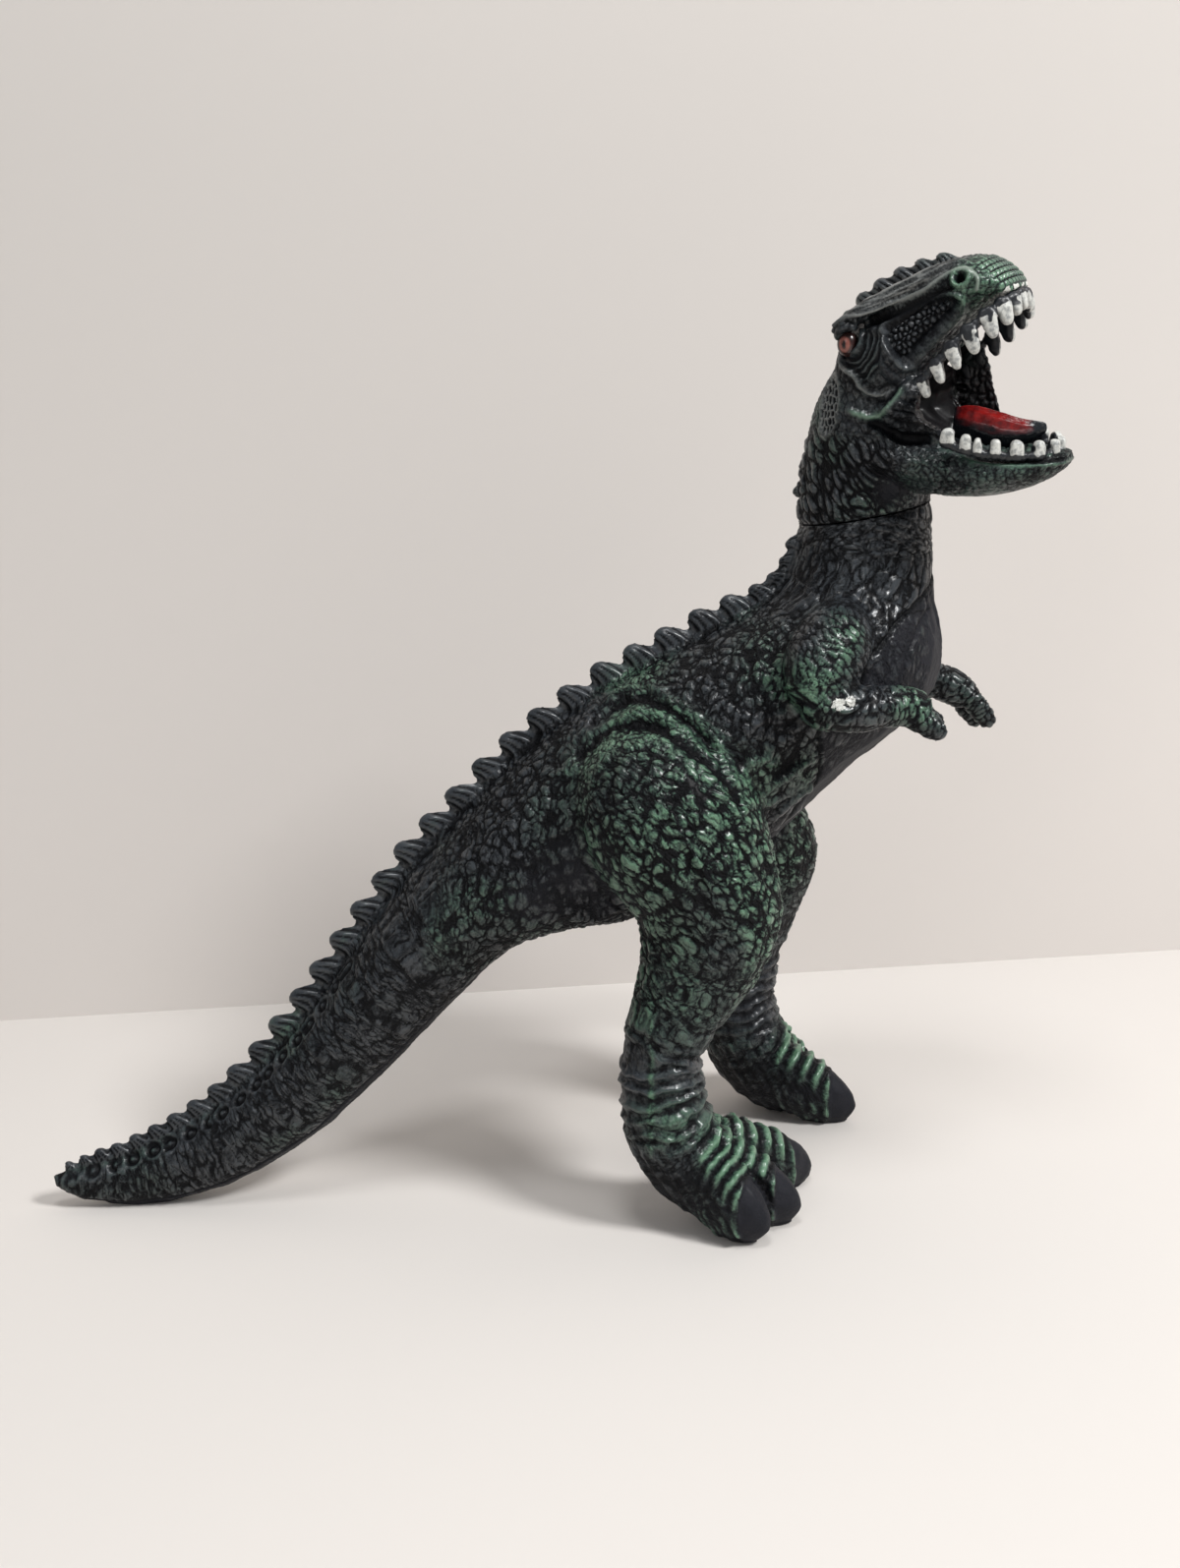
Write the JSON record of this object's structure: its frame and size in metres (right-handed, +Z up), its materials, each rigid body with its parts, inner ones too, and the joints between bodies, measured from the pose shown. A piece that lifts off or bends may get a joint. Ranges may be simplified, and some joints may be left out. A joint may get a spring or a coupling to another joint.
{
  "type": "toy dinosaur figure",
  "caption": "Soft vinyl two-legged carnivorous dinosaur figure, fibre filled, standing on its feet and tail with open jaws and a head that turns on the neck.",
  "frame": {"origin": "middle of the figure's box, at the height of the soles", "axes": "+X the way the body faces, +Y the figure's left, +Z up"},
  "size_m": [0.3298, 0.1278, 0.2986],
  "materials": {
    "dark green vinyl": "satin soft vinyl, moulded scales dry-brushed green over black",
    "plain dark vinyl": "smooth satin soft vinyl",
    "fibre filling": "loose white fibre",
    "neck plastic": "plain moulded plastic",
    "tooth paint": "off-white paint on vinyl",
    "tongue paint": "glossy dark red paint on vinyl",
    "eye paint": "glossy brown-orange paint with a dark slit"
  },
  "bodies": {
    "body": {"arm_left": "dark green vinyl", "arm_right": "dark green vinyl", "back_skin": "dark green vinyl", "belly_skin": "plain dark vinyl", "foot_left": "dark green vinyl", "foot_right": "dark green vinyl", "leg_filling_left": "fibre filling", "leg_filling_right": "fibre filling", "leg_skin_left": "dark green vinyl", "leg_skin_right": "dark green vinyl", "neck_socket": "neck plastic", "tail_filling": "fibre filling", "tail_skin": "dark green vinyl", "torso_filling": "fibre filling"},
    "head": {"head_skin": "dark green vinyl", "upper_teeth": "tooth paint", "lower_teeth": "tooth paint", "tongue": "tongue paint", "eye_left": "eye paint", "eye_right": "eye paint", "neck_plug": "neck plastic"}
  },
  "joints": [
    {"name": "head_turn", "type": "hinge", "parent": "body", "child": "head", "pos_m": [0.10912, -0.00056, 0.2215], "axis": [-0.165, 0, 0.9863], "range_deg": [-9, 81]}
  ]
}
